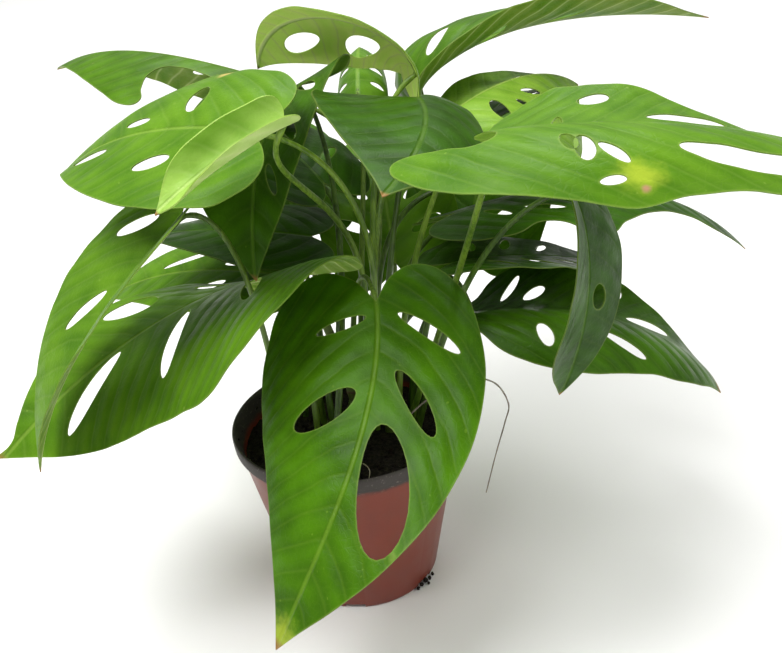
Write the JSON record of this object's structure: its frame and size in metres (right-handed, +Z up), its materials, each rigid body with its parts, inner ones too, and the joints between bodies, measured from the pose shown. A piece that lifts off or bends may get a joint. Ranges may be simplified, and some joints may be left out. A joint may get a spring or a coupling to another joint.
{
  "type": "potted monstera adansonii plant",
  "caption": "Swiss cheese vine with holed heart-shaped leaves on slender arching stalks, growing from dark soil in a tapered round nursery pot.",
  "frame": {"origin": "on the floor under the middle of the pot's base, on the flat pad that the pot rests on", "axes": "+Z up along the axis of the pot; -Y is the front, where the large drooping leaf hangs before the pot; +X is to the right seen from the front"},
  "size_m": [0.3807, 0.3674, 0.2914],
  "materials": {
    "pot_plastic": "matte terracotta-brown plastic, soil-stained at the rim",
    "soil": "damp dark peat with crumbs and pale fibres",
    "root": "dry matt thread",
    "stem_green": "satin green bark",
    "stalk_green": "satin",
    "leaf_green": "glossy mid green with paler veins",
    "leaf_deep": "glossy deep green with paler veins",
    "leaf_yellow_green": "satin yellow-green",
    "leaf_young": "satin pale yellow-green"
  },
  "bodies": {
    "root": {"aerial_root": "root", "leaf_arched_back": "leaf_yellow_green", "leaf_back_high_left": "leaf_deep", "leaf_back_high_right": "leaf_deep", "leaf_back_left": "leaf_deep", "leaf_back_low": "leaf_deep", "leaf_back_right": "leaf_deep", "leaf_centre": "leaf_deep", "leaf_far_right": "leaf_yellow_green", "leaf_far_upper_left": "leaf_green", "leaf_front": "leaf_green", "leaf_hanging_right": "leaf_green", "leaf_inner_centre_left": "leaf_deep", "leaf_inner_left": "leaf_green", "leaf_lower_left": "leaf_green", "leaf_lower_right": "leaf_deep", "leaf_mid_left": "leaf_deep", "leaf_mid_right": "leaf_deep", "leaf_narrow_left": "leaf_green", "leaf_right": "leaf_green", "leaf_top_left": "leaf_yellow_green", "leaf_top_right": "leaf_green", "leaf_under_right": "leaf_deep", "leaf_upper_left": "leaf_green", "leaf_young": "leaf_young", "pot": "pot_plastic", "soil": "soil", "stalk_arched_back": "stalk_green", "stalk_back_high_left": "stalk_green", "stalk_back_high_right": "stalk_green", "stalk_back_left": "stalk_green", "stalk_back_low": "stalk_green", "stalk_back_right": "stalk_green", "stalk_centre": "stalk_green", "stalk_far_right": "stalk_green", "stalk_far_upper_left": "stalk_green", "stalk_front": "stalk_green", "stalk_hanging_right": "stalk_green", "stalk_inner_centre_left": "stalk_green", "stalk_inner_left": "stalk_green", "stalk_lower_left": "stalk_green", "stalk_lower_right": "stalk_green", "stalk_mid_left": "stalk_green", "stalk_mid_right": "stalk_green", "stalk_narrow_left": "stalk_green", "stalk_right": "stalk_green", "stalk_top_left": "stalk_green", "stalk_top_right": "stalk_green", "stalk_under_right": "stalk_green", "stalk_upper_left": "stalk_green", "stalk_young": "stalk_green", "stem_1": "stem_green", "stem_2": "stem_green", "stem_3": "stem_green"}
  },
  "joints": []
}
